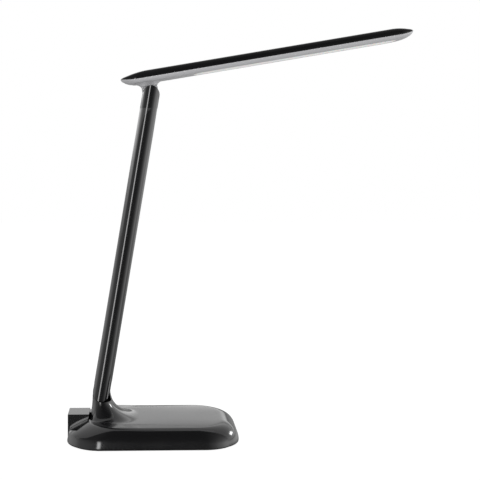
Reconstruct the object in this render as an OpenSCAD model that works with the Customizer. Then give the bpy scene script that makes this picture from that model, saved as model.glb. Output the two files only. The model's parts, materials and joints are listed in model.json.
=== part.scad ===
// Folding LED desk lamp. Origin: centre of the underside, on the desk. +X is the front, +Z is up.

/* [Base] */
// Length of the base, rear to front
base_l = 185; // [170:1:200]
// Width of the base
base_w = 120; // [110:1:130]
// Radius of the base's corners, seen from above
base_corner_r = 38; // [30:1:44]
// Height of the base's flat top above the desk
base_top_z = 22.8; // [21:0.1:23]
// Height where the base's upright side ends and its crown begins
base_side_z = 12; // [10:0.5:14]
// How far the side leans in between the foot and the crown
side_draft = 1.6; // [0.5:0.1:3]
// Width of the rounded crown along the two long sides
crown_side = 11; // [8:0.5:16]
// Width of the rounded crown at the front
crown_front = 18; // [12:0.5:24]
// Width of the sloping crown at the rear
crown_rear = 20; // [16:0.5:20.5]
// Wall thickness of the base cover
cover_wall = 2.2; // [1.6:0.1:3]
// Thickness of the rubber pad under the base
pad_t = 1.5; // [1:0.1:2]
// Thickness of the plastic base plate
plate_t = 2.5; // [2:0.1:3]
// Thickness of the steel ballast plate
ballast_t = 6; // [4:0.5:7]
// Width of the ballast plate
ballast_w = 64; // [50:1:66]

/* [Power inlet] */
// Width of the inlet housing behind the neck
block_w = 30; // [24:1:34]
// Length of the inlet housing, from the rear face
block_l = 23; // [20:0.5:24]
// Height of the inlet housing above the desk
block_top_z = 28; // [24:0.5:32]
// Gap between the inlet housing and the cover
block_gap = 0.8; // [0.3:0.1:1.2]
// Bore of the inlet
inlet_d = 5.5; // [4:0.1:6]
// Centre pin of the inlet
inlet_pin_d = 2.1; // [1.3:0.1:2.5]
// Depth of the inlet's bore
inlet_depth = 9.5; // [8:0.5:11]

/* [Hinges] */
// Distance of the lower pivot from the rear end of the base
pivot_inset = 36.4; // [34.5:0.1:38.5]
// Height of the lower pivot above the desk
pivot_z = 51.6; // [51:0.1:56]
// Thickness of the neck tongues that stand between the arm's ears
tongue_t = 12; // [11:0.1:13]
// Radius of the lower tongue's round end
low_tongue_r = 9.4; // [9:0.1:9.6]
// Radius of the upper tongue's round end
top_tongue_r = 8.6; // [8:0.1:9]
// Thickness of a friction washer
washer_t = 0.6; // [0.4:0.1:1]
// Outer diameter of a friction washer
washer_d = 14; // [12:0.5:15]
// Diameter of the pivot shafts
shaft_d = 5; // [4:0.1:6]
// Length of the pivot shafts
shaft_l = 26; // [22:0.5:27]
// Radial clearance of a shaft in a part that turns on it
shaft_clear = 0.05; // [0.02:0.01:0.1]
// Clearance between a face that turns and the face beside it
face_gap = 0.1; // [0.05:0.05:0.2]
// Clearance round a tongue inside the arm's slot
slot_gap = 0.4; // [0.3:0.1:0.6]
// Thickness of the steel hinge brackets
bracket_t = 4; // [3:0.1:5]

/* [Arm] */
// Distance between the two pivots
arm_len = 327.5; // [300:0.5:340]
// Thickness of the arm, front to back
arm_t = 19; // [19:0.1:20]
// Width of the arm, side to side
arm_w = 34; // [32:0.5:36]
// Squareness of the arm's section, 2 is an ellipse
arm_square = 2.9; // [2.5:0.1:4]
// Forward lean of the arm at rest, in degrees
arm_lean = 9.5; // [0:0.5:12]
// Wall thickness of the arm
arm_wall = 2.6; // [2:0.1:3]

/* [Head] */
// Length of the head
head_l = 325; // [310:0.5:330]
// How far the head reaches behind the upper pivot
head_back = 29.7; // [26:0.1:34]
// Width of the head
head_w = 40; // [36:0.5:44]
// Height of the head's parting line above the upper pivot
part_n = 18.8; // [18:0.1:20]
// Height of the top shell above the parting line
top_h = 8.9; // [8:0.1:9]
// Depth of the lower shell below the parting line
belly_h = 4.4; // [4:0.1:4.5]
// How far the parting line rises at the two tips
tip_lift = 2.8; // [0:0.1:3]
// Length of the rear taper of the head
rear_taper = 33; // [24:1:40]
// Length of the front taper of the head
front_taper = 25; // [20:1:32]
// Upward tilt of the head at rest, in degrees
head_rise = 9.66; // [0:0.1:20]
// Wall thickness of the head shells
head_wall = 1.6; // [1.4:0.1:1.8]
// Distance from the upper pivot to the near end of the light window
window_u0 = 50; // [46:1:70]
// Distance from the light window to the front end of the head
window_front = 19.3; // [19.3:0.1:30]
// Width of the light window
window_w = 27; // [22:0.5:28]

/* [Hidden] */
$fn = 72;

// Steps round one corner of a lofted ring, and up one curve
corner_steps = 9;
curve_steps = 8;
// A small overlap that lets joined shapes fuse, and the reach of a cut past a face
fuse = 0.5;
past = 1;

black = [0.10, 0.10, 0.11];
silver = [0.62, 0.62, 0.64];
steel = [0.70, 0.71, 0.72];
board_green = [0.10, 0.35, 0.20];

base_half_l = base_l / 2;
base_half_w = base_w / 2;
pivot_back = base_half_l - pivot_inset;
foot_inset = 0.6;
foot_round = 1.5;
upper_x = -pivot_back + arm_len * sin(arm_lean);
upper_z = pivot_z + arm_len * cos(arm_lean);
ear_r = arm_t / 2;
ear_in = tongue_t / 2 + washer_t + face_gap;
arm_half_w = arm_w / 2;
// How far the head opens past its angle at rest
head_open_limit = 20;

// One rounded rectangle, from x0 to x1 and hw to each side, at height z
function ring(x0, x1, hw, r, z) = [
    for (c = [0:3], i = [0:corner_steps])
        let (a = 90 * (c + i / corner_steps),
             cx = (c == 0 || c == 3) ? x1 - r : x0 + r,
             cy = c < 2 ? hw - r : r - hw)
        [cx + r * cos(a), cy + r * sin(a), z]
];

// The points of several rings as one list
function flat_list(rows) = [for (r = rows) for (p = r) p];

// A cup: outer rings from the open rim to the top, inner rings from the rim to the inner top
module cup(outer, inner) {
    n = len(outer[0]);
    ko = len(outer);
    ki = len(inner);
    first = n * ko;
    polyhedron(
        points = concat(flat_list(outer), flat_list(inner)),
        faces = concat(
            [for (k = [0:ko - 2], i = [0:n - 1], h = [0, 1]) let (j = (i + 1) % n)
                h == 0 ? [k * n + i, (k + 1) * n + i, (k + 1) * n + j]
                       : [k * n + i, (k + 1) * n + j, k * n + j]],
            [for (k = [0:ki - 2], i = [0:n - 1], h = [0, 1]) let (j = (i + 1) % n, s = first + k * n)
                h == 0 ? [s + i, s + n + j, s + n + i] : [s + i, s + j, s + n + j]],
            [for (i = [0:n - 1], h = [0, 1]) let (j = (i + 1) % n)
                h == 0 ? [i, j, first + j] : [i, first + j, first + i]],
            [[for (i = [0:n - 1]) (ko - 1) * n + n - 1 - i]],
            [[for (i = [0:n - 1]) first + (ki - 1) * n + i]]
        )
    );
}

module at_lower_pivot() {
    translate([-pivot_back, 0, pivot_z]) children();
}

module at_arm() {
    at_lower_pivot() rotate([0, arm_lean, 0]) children();
}

module at_head() {
    translate([upper_x, 0, upper_z]) rotate([0, -head_rise, 0]) children();
}

// A pin or bore along the width of the lamp
module across(r, w) {
    rotate([90, 0, 0]) cylinder(r = r, h = w, center = true);
}

// A flat profile drawn in x and z, w wide to both sides together
module slab(w) {
    rotate([90, 0, 0]) linear_extrude(w, center = true) children();
}

// Base: the cover's rings lean in up the side, bend over the crown and flare up into the neck
neck_front = 9.1;
neck_rear = 9.9;
neck_corner_r = 6;
flare_front = 32;
flare_rear = 4.5;
flare_side = 17;
flare_end = 1.2;
flare_h = pivot_z - flare_end - base_top_z;
saddle_gap = 0.6;
neck_top_z = pivot_z - ear_r - saddle_gap;
rear_rim_z = neck_top_z + 4.5;
plate_top_z = pad_t + plate_t;
rear_x = -base_half_l;
block_front_x = rear_x + block_l;
cable_r = 1;
cable_back = 7.4;
cable_hole_r = 1.3;
eye_r = 5.8;
screw_r = 1.5;
screw_head_r = 2.8;
screw_head_t = 1.6;
screw_gap = 0.05;
boss_r = 4;
boss_xs = [18.1 - pivot_back, base_half_l - 30.5];
boss_y = base_half_w - 21;
boss_screw_depth = 10;
base_screw_l = 11;
bracket_foot_t = 3;
bracket_foot_w = 26;
bracket_foot = [-12.5, 15];
foot_screw_xs = [-8.9 - pivot_back, 10.1 - pivot_back];
foot_screw_y = 9;
plate_gap = 0.3;
pad_inset = 4;
ballast_x0 = bracket_foot[1] + 4.1 - pivot_back;
ballast_x1 = base_half_l - 19.5;
ballast_corner_r = 6;
board_l = 46;
board_w = 30;
board_t = 1.6;
board_x = (ballast_x0 + ballast_x1) / 2 + 13;
board_post_h = 3;
board_post_r = 2;
board_post_inset = 3;
chip_side = 8;
chip_h = 1.5;
coil_side = 9;
coil_h = 3;
touch_x = base_half_l - 34.5;
touch_r = 9;
touch_t = 1;
inlet_z = 10.5;
jack_l = 14;
jack_w = 9;
jack_h = 11;
jack_recess = 1.5;
jack_front_x = rear_x + jack_recess + jack_l;
bracket_slot_r = eye_r + 0.6;

function base_ring(side, front, rear, z) =
    ring(-base_half_l + rear, base_half_l - front, base_half_w - side, base_corner_r - 0.6 * side, z);

function foot_ring(inset, z) = base_ring(inset, inset, inset, z);

function crown_ring(a, off) = base_ring(
    side_draft + crown_side * (1 - cos(a)) + off * cos(a),
    side_draft + crown_front * (1 - cos(a)) + off * cos(a),
    side_draft + crown_rear * pow(sin(a), 1.2) + off * 0.6,
    base_side_z + (base_top_z - base_side_z - off) * sin(a));

function flare_ring(b, off) =
    let (open = 1 - sin(b), in = off * sin(b))
    ring(-pivot_back - neck_rear - flare_rear * open + in,
         -pivot_back + neck_front + flare_front * open - in,
         arm_half_w + flare_side * open - in,
         neck_corner_r + 0.9 * flare_side * open - in,
         base_top_z + flare_h * (1 - cos(b)) - off * cos(b));

// The angle up the flare at which its wall, off inside the outer face, reaches height z
function flare_angle(z, off) = acos((base_top_z + flare_h - z) / (flare_h + off));

module cover_shell() {
    outer_top = flare_angle(rear_rim_z, 0);
    inner_top = flare_angle(neck_top_z - cover_wall, cover_wall);
    cup(
        concat([foot_ring(foot_inset, pad_t), foot_ring(0, pad_t + foot_round)],
               [for (k = [0:curve_steps]) crown_ring(90 * k / curve_steps, 0)],
               [for (k = [0:curve_steps]) flare_ring(outer_top * k / curve_steps, 0)]),
        concat([foot_ring(foot_inset + cover_wall, pad_t), foot_ring(cover_wall, pad_t + foot_round)],
               [for (k = [0:curve_steps]) crown_ring(90 * k / curve_steps, cover_wall)],
               [for (k = [0:curve_steps]) flare_ring(inner_top * k / curve_steps, cover_wall)])
    );
}

module lower_tongue() {
    first = flare_angle(neck_top_z - 1, 0);
    profile = concat(
        [[-neck_rear, neck_top_z - 1 - pivot_z]],
        [for (k = [0:5]) let (b = first + (90 - first) * k / 5)
            [neck_front + flare_front * (1 - sin(b)), base_top_z + flare_h * (1 - cos(b)) - pivot_z]],
        [[low_tongue_r, 0], [-low_tongue_r, 0], [-neck_rear + 0.2, -5]]);
    at_lower_pivot() {
        slab(tongue_t) polygon(profile);
        across(low_tongue_r, tongue_t);
    }
}

module base_cover() color(black) difference() {
    union() {
        cover_shell();
        lower_tongue();
        for (x = boss_xs, y = [-boss_y, boss_y])
            translate([x, y, plate_top_z]) cylinder(r = boss_r, h = base_top_z - cover_wall / 2 - plate_top_z);
    }
    // the ears turn in saddles on both sides of the tongue, open to the front for folding
    at_lower_pivot() for (s = [-1, 1]) translate([0, s * (tongue_t / 2 + arm_half_w), 0]) {
        across(ear_r + slot_gap, 2 * arm_half_w);
        translate([0, -arm_half_w, neck_top_z - pivot_z]) cube([arm_t, 2 * arm_half_w, arm_t]);
    }
    // room for the steel bracket, the shaft and the cable in the tongue
    at_lower_pivot() {
        across(bracket_slot_r, bracket_t + 2 * face_gap);
        slab(bracket_t + 2 * face_gap) translate([-bracket_slot_r, -pivot_z + neck_top_z - cover_wall - past])
            square([2 * bracket_slot_r, pivot_z - neck_top_z + cover_wall + past]);
        across(shaft_d / 2 + face_gap, tongue_t + 2 * past);
        translate([-cable_back, 0, neck_top_z - cover_wall - past - pivot_z])
            cylinder(r = cable_hole_r, h = 2 * arm_t);
    }
    // notch for the inlet housing
    translate([rear_x - past, -block_w / 2 - block_gap, 0])
        cube([block_l + past + block_gap, block_w + 2 * block_gap, block_top_z + past]);
    for (x = boss_xs, y = [-boss_y, boss_y])
        translate([x, y, plate_top_z - past])
            cylinder(r = screw_r + screw_gap, h = boss_screw_depth + past);
}

module rounded(lx, ly, r) {
    for (x = [-1, 1], y = [-1, 1]) translate([x * (lx / 2 - r), y * (ly / 2 - r)]) circle(r);
    square([lx - 2 * r, ly], center = true);
    square([lx, ly - 2 * r], center = true);
}

module base_plate() color(black) difference() {
    inner = foot_inset + cover_wall;
    inset = inner + plate_gap;
    translate([0, 0, pad_t]) linear_extrude(plate_t)
        rounded(base_l - 2 * inset, base_w - 2 * inset, base_corner_r - 0.6 * inner - plate_gap);
    for (x = boss_xs, y = [-boss_y, boss_y]) translate([x, y, pad_t - past]) {
        cylinder(r = screw_r + screw_gap, h = plate_t + 2 * past);
        cylinder(r = screw_head_r + screw_gap, h = screw_head_t + past);
    }
    for (x = foot_screw_xs, y = [-foot_screw_y, foot_screw_y])
        translate([x, y, pad_t - past]) cylinder(r = screw_r + screw_gap, h = plate_t + 2 * past);
}

module ballast_plate() color(steel) translate([(ballast_x0 + ballast_x1) / 2, 0, plate_top_z])
    linear_extrude(ballast_t) rounded(ballast_x1 - ballast_x0, ballast_w, ballast_corner_r);

module anti_slip_pad() color(black)
    linear_extrude(pad_t)
        rounded(base_l - 2 * pad_inset, base_w - 2 * pad_inset, base_corner_r - pad_inset);

module port_block() color(black) difference() {
    translate([rear_x, -block_w / 2, plate_top_z])
        cube([block_l, block_w, block_top_z - plate_top_z]);
    translate([rear_x + jack_recess, -jack_w / 2 - face_gap, plate_top_z - past])
        cube([block_l, jack_w + 2 * face_gap, inlet_z + jack_h / 2 + face_gap - plate_top_z + past]);
    translate([rear_x - past, 0, inlet_z]) rotate([0, 90, 0])
        cylinder(r = inlet_d / 2 + 0.9, h = jack_recess + 2 * past);
}

module dc_jack() color([0.15, 0.15, 0.16]) difference() {
    translate([rear_x + jack_recess, -jack_w / 2, inlet_z - jack_h / 2]) cube([jack_l, jack_w, jack_h]);
    translate([rear_x + jack_recess - past, 0, inlet_z]) rotate([0, 90, 0]) difference() {
        cylinder(r = inlet_d / 2, h = inlet_depth + past);
        cylinder(r = inlet_pin_d / 2, h = inlet_depth + past);
    }
}

module control_board() color(board_green) {
    post_z = plate_top_z + ballast_t;
    board_z = post_z + board_post_h;
    post_x = board_l / 2 - board_post_inset;
    post_y = board_w / 2 - board_post_inset;
    translate([board_x - board_l / 2, -board_w / 2, board_z]) cube([board_l, board_w, board_t]);
    for (x = [-post_x, post_x], y = [-post_y, post_y])
        translate([board_x + x, y, post_z]) cylinder(r = board_post_r, h = board_post_h + fuse);
    translate([board_x - 15, -chip_side + 2, board_z + board_t - fuse])
        cube([chip_side, chip_side, chip_h + fuse]);
    translate([board_x + 1, -coil_side + 1, board_z + board_t - fuse])
        cube([coil_side, coil_side, coil_h + fuse]);
}

module touch_sensor() color([0.80, 0.55, 0.25])
    translate([touch_x, 0, base_top_z - cover_wall - touch_t]) cylinder(r = touch_r, h = touch_t);

module lower_hinge_bracket() color(steel) difference() {
    at_lower_pivot() {
        across(eye_r, bracket_t);
        slab(bracket_t) translate([-eye_r, plate_top_z - pivot_z])
            square([2 * eye_r, pivot_z - plate_top_z]);
        translate([bracket_foot[0], -bracket_foot_w / 2, plate_top_z - pivot_z])
            cube([bracket_foot[1] - bracket_foot[0], bracket_foot_w, bracket_foot_t]);
    }
    at_lower_pivot() across(shaft_d / 2, 2 * bracket_t);
    for (x = foot_screw_xs, y = [-foot_screw_y, foot_screw_y])
        translate([x, y, plate_top_z - past])
            cylinder(r = screw_r + screw_gap, h = bracket_foot_t + 2 * past);
}

module lower_pivot_shaft() color(steel) at_lower_pivot() across(shaft_d / 2, shaft_l);

module washers() {
    for (s = [-1, 1]) translate([0, s * (tongue_t / 2 + washer_t / 2), 0]) difference() {
        across(washer_d / 2, washer_t);
        across(shaft_d / 2 + face_gap, 2 * washer_t);
    }
}

module lower_friction_washers() color([0.85, 0.83, 0.75]) at_lower_pivot() washers();

// One screw with its head down at the origin and its shank up
module screw(l) {
    cylinder(r = screw_head_r, h = screw_head_t);
    cylinder(r = screw_r, h = l);
}

module base_screws() color(steel)
    for (x = boss_xs, y = [-boss_y, boss_y]) translate([x, y, pad_t]) screw(base_screw_l);

module bracket_screws() color(steel)
    for (x = foot_screw_xs, y = [-foot_screw_y, foot_screw_y])
        translate([x, y, plate_top_z + bracket_foot_t + screw_head_t]) mirror([0, 0, 1])
            screw(screw_head_t + bracket_foot_t + plate_t - 0.5);

module base_cable() color([0.2, 0.2, 0.2]) {
    rise_x = -pivot_back - cable_back;
    translate([jack_front_x, 0, inlet_z]) rotate([0, 90, 0])
        cylinder(r = cable_r, h = rise_x - jack_front_x);
    translate([rise_x, 0, inlet_z]) sphere(cable_r);
    translate([rise_x, 0, inlet_z]) cylinder(r = cable_r, h = pivot_z + 5 - inlet_z);
}

// Arm: drawn upright on the lower pivot, x to its front, z along it
section_points = 48;
slot_w = 2 * ear_in;
slot_reach = arm_t;
low_slot_front = low_tongue_r + 2.2;
low_slot_rear = low_tongue_r - 2.1;
stiff_t = 2;
stiff_w = 8;
stiff_x = -1.5;
stiff_end = 17;
arm_cable_x = 4.6;
arm_screw_zs = [28, arm_len / 2, arm_len - 28];
arm_block_half = 5;
arm_screw_seat = 11;
arm_screw_l = 20;

function power(v, p) = sign(v) * pow(abs(v), p);

function arm_section(in) = [
    for (i = [0:section_points - 1])
        let (a = 360 * (i + 0.5) / section_points, p = 2 / arm_square)
        [(ear_r - in) * power(cos(a), p), (arm_half_w - in) * power(sin(a), p)]
];

module arm_solid() intersection() {
    translate([0, 0, -ear_r]) linear_extrude(arm_len + arm_t) polygon(arm_section(0));
    slab(2 * arm_w) {
        circle(ear_r);
        translate([0, arm_len]) circle(ear_r);
        translate([-ear_r, 0]) square([arm_t, arm_len]);
    }
}

// The lower slot lets the base's tongue swing from behind the arm to square across its front
module lower_slot() slab(slot_w) {
    circle(low_tongue_r + slot_gap);
    polygon([[-slot_reach, -slot_reach], [slot_reach, -slot_reach],
             [slot_reach, low_slot_front + 2], [ear_r, low_slot_front],
             [-ear_r, low_slot_rear], [-slot_reach, low_slot_rear - 2]]);
}

// The upper slot is the sector that the head's tongue sweeps, from fully open to folded flat
module upper_slot() translate([0, 0, arm_len]) slab(slot_w) {
    r = top_tongue_r + slot_gap;
    open_a = -(arm_lean + head_rise + head_open_limit);
    fold_a = 90;
    circle(r);
    side = top_tongue_r + slot_gap / 2;
    for (a = [open_a, fold_a]) rotate(-a) translate([-side, 0]) square([2 * side, slot_reach]);
    polygon([for (a = [open_a, 0, 45, fold_a]) 1.3 * slot_reach * [sin(a), cos(a)]]);
    polygon([[0, 0], 1.3 * slot_reach * [sin(open_a), cos(open_a)], [0, 1.3 * slot_reach],
             [1.3 * slot_reach, 0]]);
}

module arm_hollows() {
    lower_slot();
    upper_slot();
    for (z = [0, arm_len]) translate([0, 0, z])
        across(shaft_d / 2 + shaft_clear, shaft_l + 4 * face_gap);
    for (i = [0, 1]) {
        z0 = arm_screw_zs[i] + arm_block_half;
        z1 = arm_screw_zs[i + 1] - arm_block_half;
        translate([0, 0, z0]) linear_extrude(z1 - z0) polygon(arm_section(arm_wall));
    }
    translate([stiff_x - stiff_w / 2 - face_gap, -stiff_t / 2 - face_gap, stiff_end - face_gap])
        cube([stiff_w + 2 * face_gap, stiff_t + 2 * face_gap, arm_len - 2 * (stiff_end - face_gap)]);
    translate([arm_cable_x, 0, 0]) cylinder(r = cable_hole_r, h = arm_len);
    for (z = arm_screw_zs) translate([stiff_x, 0, z]) rotate([-90, 0, 0]) {
        translate([0, 0, arm_screw_seat - arm_screw_l])
            cylinder(r = screw_r + screw_gap, h = arm_screw_l);
        translate([0, 0, arm_screw_seat]) cylinder(r = screw_head_r + 2 * screw_gap, h = arm_w);
    }
}

// One half of the arm: side -1 is the right half, side 1 the left
module arm_half(side) at_arm() difference() {
    intersection() {
        arm_solid();
        translate([-arm_t, side > 0 ? 0 : -arm_w, -arm_t]) cube([2 * arm_t, arm_w, arm_len + 2 * arm_t]);
    }
    arm_hollows();
}

module arm_shell_right() color(black) arm_half(-1);

module arm_shell_left() color(black) arm_half(1);

module arm_stiffener() color(steel) at_arm() difference() {
    translate([stiff_x - stiff_w / 2, -stiff_t / 2, stiff_end])
        cube([stiff_w, stiff_t, arm_len - 2 * stiff_end]);
    for (z = arm_screw_zs) translate([stiff_x, 0, z]) across(screw_r + screw_gap, 2 * stiff_t);
}

module arm_screws() color(steel) at_arm()
    for (z = arm_screw_zs) translate([stiff_x, arm_screw_seat + screw_head_t, z])
        rotate([90, 0, 0]) screw(arm_screw_l + screw_head_t - 1);

module arm_cable() color([0.2, 0.2, 0.2]) at_arm()
    translate([arm_cable_x, 0, low_slot_front - 1])
        cylinder(r = cable_r, h = arm_len - 2 * low_slot_front + 2);

// Head: x along the head from the upper pivot, z up from the pivot
head_half_w = head_w / 2;
head_x0 = -head_back;
head_x1 = head_l - head_back;
window_u1 = head_x1 - window_front;
window_r = 13;
head_end_r = 17;
head_square = 0.77;
crown_top_a = 80;
tip_bend = 0.97;
tip_wall = 1.5;
rib_w = 10;
rib_t = 1.5;
top_steps = 8;
belly_steps = 4;
belly_round = 6;
belly_rear = 10;
belly_front = 18.5;
lift_reach = 18;
floor_n = part_n - belly_h;
inner_floor_n = floor_n + head_wall;
seam_step = 0.05;
head_neck_half = 8.5;
head_neck_hw = 10.5;
head_flare = 9;
head_flare_side = 3.4;
head_flare_h = 6;
head_shoulder_n = ear_r + 0.7;
diffuser_step = 0.2;
flange_t = 0.8;
flange_w = 0.4;
diffuser_gap = 0.15;
guide_t = 2;
reflector_t = 0.3;
stack_n = inner_floor_n + flange_t;
chip_t = 0.8;
strip_t = 0.8;
chip_count = 36;
led_l = 2.8;
led_h = 1.4;
led_rise = 0.3;
rib_count = 4;
head_eye_r = 5.2;
head_cable_back = 6.4;
head_foot = [-12, 32];
head_foot_hw = 9.5;
head_foot_t = 2.5;
head_screw_xs = [21, 28];
head_screw_y = 6;
head_wire_n = inner_floor_n + 3.2 + cable_r;

function lift(x) = let (d = min(x - head_x0, head_x1 - x))
    tip_lift * pow(max(0, 1 - d / lift_reach), 2);

function raise(pts, amount) = [for (p = pts) [p[0], p[1], p[2] + amount * lift(p[0])]];

function top_ring(a, off) =
    let (s = sin(a), rise = pow(s, head_square),
         hw = (head_half_w - off) * pow(cos(a), head_square),
         drawn = 1 - sqrt(1 - tip_bend * rise * rise),
         x0 = head_x0 + rear_taper * drawn + tip_wall * off,
         x1 = head_x1 - front_taper * drawn - tip_wall * off)
    raise(ring(x0, x1, hw, min(head_end_r, 0.95 * hw), part_n + seam_step + (top_h - off) * rise), 1 - rise);

// The lower shell is drawn upside down, its height growing towards the pivot
function belly_ring(a, off) =
    let (open = 1 - cos(a), in = off * cos(a))
    raise(ring(head_x0 + belly_rear * open + tip_wall * in, head_x1 - belly_front * open - tip_wall * in,
               head_half_w - belly_round * open - in, head_end_r - 0.5 * belly_round * open - in,
               -part_n + (belly_h - off) * sin(a)), -cos(a));

function head_flare_ring(b, off) =
    let (open = 1 - sin(b), in = off * sin(b), reach = head_neck_half + head_flare * open - in)
    ring(-reach, reach, head_neck_hw + head_flare_side * open - in,
         neck_corner_r + head_flare_side * open - in,
         -floor_n + head_flare_h * (1 - cos(b)) - off * cos(b));

function head_flare_angle(n, off) = acos((n + head_flare_h - floor_n) / (head_flare_h + off));

module head_top_shell() color(black) at_head() {
    cup([for (k = [0:top_steps]) top_ring(crown_top_a * k / top_steps, 0)],
        [for (k = [0:top_steps]) top_ring(crown_top_a * k / top_steps, head_wall)]);
    // ribs that hold the light guide down
    for (i = [0:rib_count - 1]) let (x = window_u0 + (window_u1 - window_u0) * (i + 0.5) / rib_count)
        translate([x, -rib_w / 2, stack_n + guide_t + reflector_t + face_gap])
            cube([rib_t, rib_w, part_n + top_h - head_wall / 2 - stack_n - guide_t - reflector_t]);
}

module window(grow) {
    translate([(window_u0 + window_u1) / 2, 0])
        rounded(window_u1 - window_u0 + 2 * grow, window_w + 2 * grow, window_r + grow);
}

module head_bottom_shell() color(silver) at_head() difference() {
    mirror([0, 0, 1]) {
        cup(concat([for (k = [0:belly_steps]) belly_ring(90 * k / belly_steps, 0)],
                   [for (k = [0:curve_steps])
                       head_flare_ring(head_flare_angle(head_shoulder_n, 0) * k / curve_steps, 0)]),
            concat([for (k = [0:belly_steps]) belly_ring(90 * k / belly_steps, head_wall)],
                   [for (k = [0:curve_steps])
                       head_flare_ring(head_flare_angle(head_shoulder_n + head_wall, head_wall)
                                       * k / curve_steps, head_wall)]));
        slab(tongue_t) translate([-top_tongue_r, -head_shoulder_n - head_wall / 2])
            square([2 * top_tongue_r, head_shoulder_n + head_wall / 2]);
        across(top_tongue_r, tongue_t);
    }
    translate([0, 0, floor_n - past]) linear_extrude(head_wall + 2 * past) window(0);
    across(head_eye_r + 0.6, bracket_t + 2 * face_gap);
    slab(bracket_t + 2 * face_gap) translate([-head_eye_r - 0.6, 0])
        square([2 * head_eye_r + 1.2, inner_floor_n]);
    across(shaft_d / 2 + face_gap, tongue_t + 2 * past);
    translate([-head_cable_back, 0, -top_tongue_r]) cylinder(r = cable_hole_r, h = inner_floor_n + top_tongue_r);
    for (x = head_screw_xs, y = [-head_screw_y, head_screw_y])
        translate([x, y, inner_floor_n - 1.1]) cylinder(r = screw_r + screw_gap, h = 2);
}

module diffuser() color([0.93, 0.93, 0.92]) at_head() {
    translate([0, 0, floor_n + diffuser_step]) linear_extrude(head_wall - diffuser_step + fuse)
        window(-diffuser_gap);
    translate([0, 0, inner_floor_n]) linear_extrude(flange_t) window(flange_w);
}

module light_guide() color([0.85, 0.90, 0.92]) at_head()
    translate([window_u0, -window_w / 2, stack_n]) cube([window_u1 - window_u0, window_w, guide_t]);

module reflector_sheet() color([0.95, 0.95, 0.95]) at_head()
    translate([window_u0, -window_w / 2, stack_n + guide_t])
        cube([window_u1 - window_u0, window_w, reflector_t]);

module led_board() color(board_green) at_head()
    translate([window_u0, window_w / 2 + chip_t, stack_n])
        cube([window_u1 - window_u0, strip_t, guide_t + reflector_t]);

module led_chips() color([0.95, 0.85, 0.40]) at_head()
    for (i = [0:chip_count - 1])
        let (x = window_u0 + (window_u1 - window_u0) * (i + 0.5) / chip_count)
        translate([x - led_l / 2, window_w / 2, stack_n + led_rise]) cube([led_l, chip_t, led_h]);

module head_hinge_bracket() color(steel) at_head() difference() {
    union() {
        across(head_eye_r, bracket_t);
        slab(bracket_t) translate([-head_eye_r, 0]) square([2 * head_eye_r, inner_floor_n + head_foot_t]);
        translate([head_foot[0], -head_foot_hw, inner_floor_n])
            cube([head_foot[1] - head_foot[0], 2 * head_foot_hw, head_foot_t]);
    }
    across(shaft_d / 2, 2 * bracket_t);
    translate([-head_cable_back, 0, 0]) cylinder(r = cable_hole_r, h = 2 * part_n);
    for (x = head_screw_xs, y = [-head_screw_y, head_screw_y])
        translate([x, y, inner_floor_n - past])
            cylinder(r = screw_r + screw_gap, h = head_foot_t + 2 * past);
}

module upper_pivot_shaft() color(steel) at_head() across(shaft_d / 2, shaft_l);

module upper_friction_washers() color([0.85, 0.83, 0.75]) at_head() washers();

module head_screws() color(steel) at_head()
    for (x = head_screw_xs, y = [-head_screw_y, head_screw_y])
        translate([x, y, inner_floor_n + head_foot_t + screw_head_t]) mirror([0, 0, 1])
            screw(screw_head_t + head_foot_t + 1);

module head_cable() color([0.2, 0.2, 0.2]) at_head() {
    end_x = window_u0 + 10;
    side_y = window_w / 2 + chip_t;
    translate([-head_cable_back, 0, -4]) cylinder(r = cable_r, h = head_wire_n + 4);
    translate([-head_cable_back, 0, head_wire_n]) sphere(cable_r);
    translate([-head_cable_back, 0, head_wire_n]) rotate([0, 90, 0])
        cylinder(r = cable_r, h = end_x + head_cable_back);
    translate([end_x, 0, head_wire_n]) sphere(cable_r);
    translate([end_x, 0, head_wire_n]) rotate([-90, 0, 0]) cylinder(r = cable_r, h = side_y);
}

base_cover();
base_plate();
ballast_plate();
anti_slip_pad();
port_block();
dc_jack();
control_board();
touch_sensor();
lower_hinge_bracket();
lower_pivot_shaft();
lower_friction_washers();
base_screws();
bracket_screws();
base_cable();
arm_shell_right();
arm_shell_left();
arm_stiffener();
arm_screws();
arm_cable();
upper_pivot_shaft();
upper_friction_washers();
head_top_shell();
head_bottom_shell();
diffuser();
light_guide();
reflector_sheet();
led_board();
led_chips();
head_hinge_bracket();
head_screws();
head_cable();
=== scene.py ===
import json
import math

import bpy
import numpy as np
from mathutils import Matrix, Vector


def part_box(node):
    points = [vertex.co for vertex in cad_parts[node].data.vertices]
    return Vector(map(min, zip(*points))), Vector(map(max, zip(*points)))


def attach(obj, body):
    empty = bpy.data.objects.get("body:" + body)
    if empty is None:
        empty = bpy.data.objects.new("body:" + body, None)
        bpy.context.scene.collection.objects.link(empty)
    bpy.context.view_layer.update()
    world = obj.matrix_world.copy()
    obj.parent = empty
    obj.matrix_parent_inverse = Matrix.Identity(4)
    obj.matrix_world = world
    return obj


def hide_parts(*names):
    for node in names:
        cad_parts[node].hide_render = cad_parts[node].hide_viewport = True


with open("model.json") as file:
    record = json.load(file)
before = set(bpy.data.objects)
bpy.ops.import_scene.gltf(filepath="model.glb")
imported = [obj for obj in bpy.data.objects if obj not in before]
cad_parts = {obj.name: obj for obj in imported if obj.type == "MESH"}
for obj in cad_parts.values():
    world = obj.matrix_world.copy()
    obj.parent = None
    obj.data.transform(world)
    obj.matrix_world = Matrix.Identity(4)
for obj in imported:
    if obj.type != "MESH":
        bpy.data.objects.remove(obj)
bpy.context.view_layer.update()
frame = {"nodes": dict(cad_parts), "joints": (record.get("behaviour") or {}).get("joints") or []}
MM = 0.001


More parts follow.
